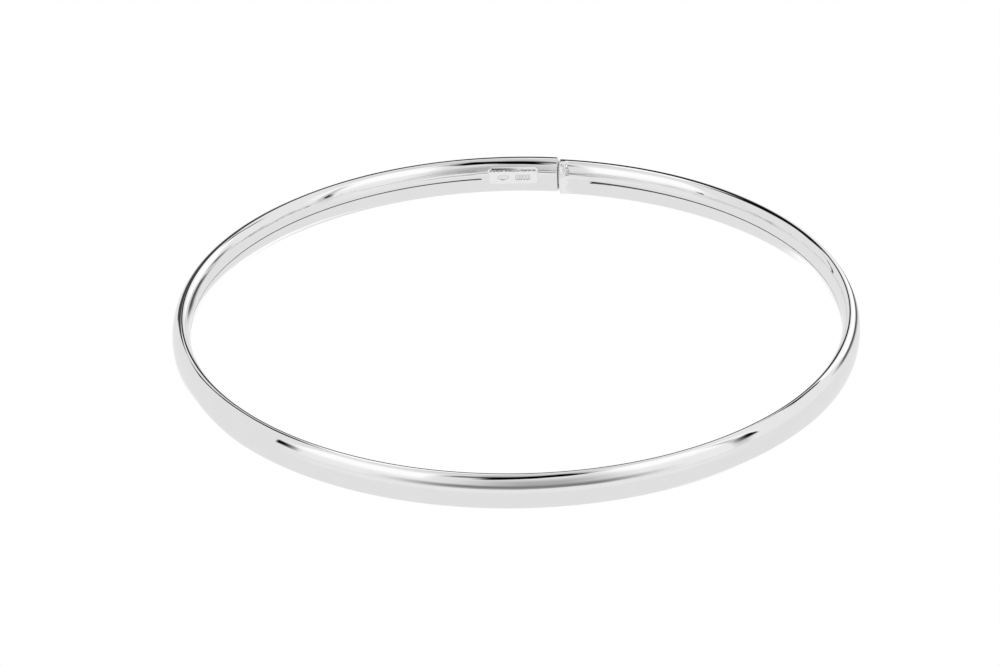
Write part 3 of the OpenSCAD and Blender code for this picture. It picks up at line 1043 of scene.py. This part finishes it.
for name, *settings, tone in PANELS:
    inputs = {"Round": ROUND, "Up": UP, **dict(zip(PANEL_SETTINGS, settings))}
    mask = add(sky, "ShaderNodeGroup", inputs, node_tree=PANEL, label=name).outputs[0]
    level = add(sky, "ShaderNodeMix", {0: mask, 2: level, 3: display(tone) * LAMPS},
                data_type="FLOAT").outputs[0]
lamp = add(sky, "ShaderNodeEmission", {"Strength": level, "Color": (1, 1, 1, 1)})
add(sky, "ShaderNodeOutputMaterial", {"Surface": lamp.outputs[0]})
cloth.materials.append(glow)
print(len(PANELS), "panels of light and dark")

# %% [markdown]
# Five narrow black cards and a grey one stand close to the bangle. Each is set nearly edge-on to the
# parts of the ring that should not show it, so that only a short stretch of metal catches it, as a
# dark stroke that shows how the tube turns. In a studio this is called subtractive light. A card is
# felt on a clear sheet, and its edges fade out as if it leaned away.

# %% Felt
SHEET_MAP = "sheet"                           # 0 to 1 along and up a flat sheet


def card_felt(name, start, end, low, high, grey=0.005):
    """Felt that fades in and out over these shares of the card's length and height."""
    mat, tree = empty_material(name)
    layout = add(tree, "ShaderNodeUVMap", uv_map=SHEET_MAP).outputs[0]
    spot = add(tree, "ShaderNodeSeparateXYZ", {0: layout})
    edges = ((0, 0.0, start), (0, 1.0, 1 - end), (1, 0.0, low), (1, 1.0, 1 - high))
    fades = [add(tree, "ShaderNodeMapRange", {0: spot.outputs[axis], 1: hidden, 2: full},
                 interpolation_type="SMOOTHSTEP").outputs[0] for axis, hidden, full in edges]
    shown = sums(tree, "MULTIPLY", sums(tree, "MULTIPLY", fades[0], fades[1]),
                 sums(tree, "MULTIPLY", fades[2], fades[3]))
    clear = add(tree, "ShaderNodeBsdfTransparent")
    felt = add(tree, "ShaderNodeBsdfDiffuse", {"Color": (grey, grey, grey, 1)})
    mixed = add(tree, "ShaderNodeMixShader", {0: shown, 1: clear.outputs[0], 2: felt.outputs[0]})
    add(tree, "ShaderNodeOutputMaterial", {"Surface": mixed.outputs[0]})
    return mat


SOFT_CARD = card_felt("soft_card", 0.06, 0.8, 0.25, 0.4)
CRISP_CARD = card_felt("crisp_card", 0.08, 0.15, 0.05, 0.12)
GREY_CARD = card_felt("grey_card", 0.1, 0.2, 0.05, 0.15, 0.09)
print("felts:", [felt.name for felt in (SOFT_CARD, CRISP_CARD, GREY_CARD)])

# %% [markdown]
# Each card stands upright on a straight line seen from above, given in ring radii as the camera would
# see it: right of the middle and beyond it. Its top and bottom edges may run up or down on the way.

# %% Cards
def flat_sheet(name, corners, material):
    mesh = bpy.data.meshes.new(name)
    mesh.from_pydata(corners, [], [(0, 1, 2, 3)])
    mesh.uv_layers.new(name=SHEET_MAP).data.foreach_set("uv", [0, 0, 1, 0, 1, 1, 0, 1])
    mesh.materials.append(material)
    return add_to_scene(name, mesh)


def from_camera(right_of, beyond, height):
    """A place given in ring radii: right of the ring's middle, beyond it, and above it."""
    c, s = math.cos(VIEW_AZIMUTH), math.sin(VIEW_AZIMUTH)
    return Vector((right_of * c - beyond * s, right_of * s + beyond * c, height)) * RING_R


CARDS = [
    # name, felt, start (right, beyond), end (right, beyond), low and high at the start, then at the end
    ("left card", SOFT_CARD, (-3.83, -1.08), (-6.1, -2.55), (-0.3, 1.0), (-0.5, 1.3)),
    ("right card", SOFT_CARD, (3.83, -1.08), (6.0, -2.6), (0.3, 2.1), (0.2, 2.0)),
    ("rear card, far left", CRISP_CARD, (-2.1, 1.86), (-3.8, 2.64), (1.2, 2.7), (2.1, 4.5)),
    ("rear card, left", GREY_CARD, (-0.65, 1.82), (-3.4, 4.23), (0.0, 0.95), (0.0, 3.0)),
    ("rear card, high", CRISP_CARD, (-0.38, 1.6), (0.1, 3.4), (1.15, 2.1), (2.2, 4.2)),
    ("rear card, far right", CRISP_CARD, (1.3, 1.6), (3.9, 2.86), (1.6, 2.6), (3.2, 4.7)),
]
for name, felt, start, end, at_start, at_end in CARDS:
    card = flat_sheet(name, [from_camera(*start, at_start[0]), from_camera(*end, at_end[0]),
                             from_camera(*end, at_end[1]), from_camera(*start, at_start[1])], felt)
    card.visible_camera = False
print(len(CARDS), "cards")

# %% [markdown]
# The background is plain white. The table is a plain pale sheet that the camera sees lit to the same
# clean white. It is left out of the mirror's view, because the tent already holds the table's shade.

# %% Background and table
world = bpy.data.worlds.new("white_room")
bpy.context.scene.world = world
world.use_nodes = True
world.node_tree.nodes.clear()
room = add(world.node_tree, "ShaderNodeBackground", {"Color": (1, 1, 1, 1)})
add(world.node_tree, "ShaderNodeOutputWorld", {"Surface": room.outputs[0]})
bpy.context.scene.view_settings.view_transform = "Standard"

TABLE_SIZE = 1.2
BELOW_RING = 0.02 * MM
paper, paper_nodes = empty_material("table_white")
lit = add(paper_nodes, "ShaderNodeEmission", {"Strength": 1.0})
add(paper_nodes, "ShaderNodeOutputMaterial", {"Surface": lit.outputs[0]})
half = TABLE_SIZE / 2
table_z = cad_box[0].z - BELOW_RING
table = flat_sheet("table", [(-half, -half, table_z), (half, -half, table_z),
                             (half, half, table_z), (-half, half, table_z)], paper)
table.visible_glossy = False
table.visible_diffuse = False
table.visible_shadow = False
print(f"table {TABLE_SIZE} m wide, {BELOW_RING / MM} mm below the bangle")

# %% [markdown]
# Last, the view layer is brought up to date. The skin should be exactly as big as the model that it
# covers.

# %% Finish
bpy.context.view_layer.update()
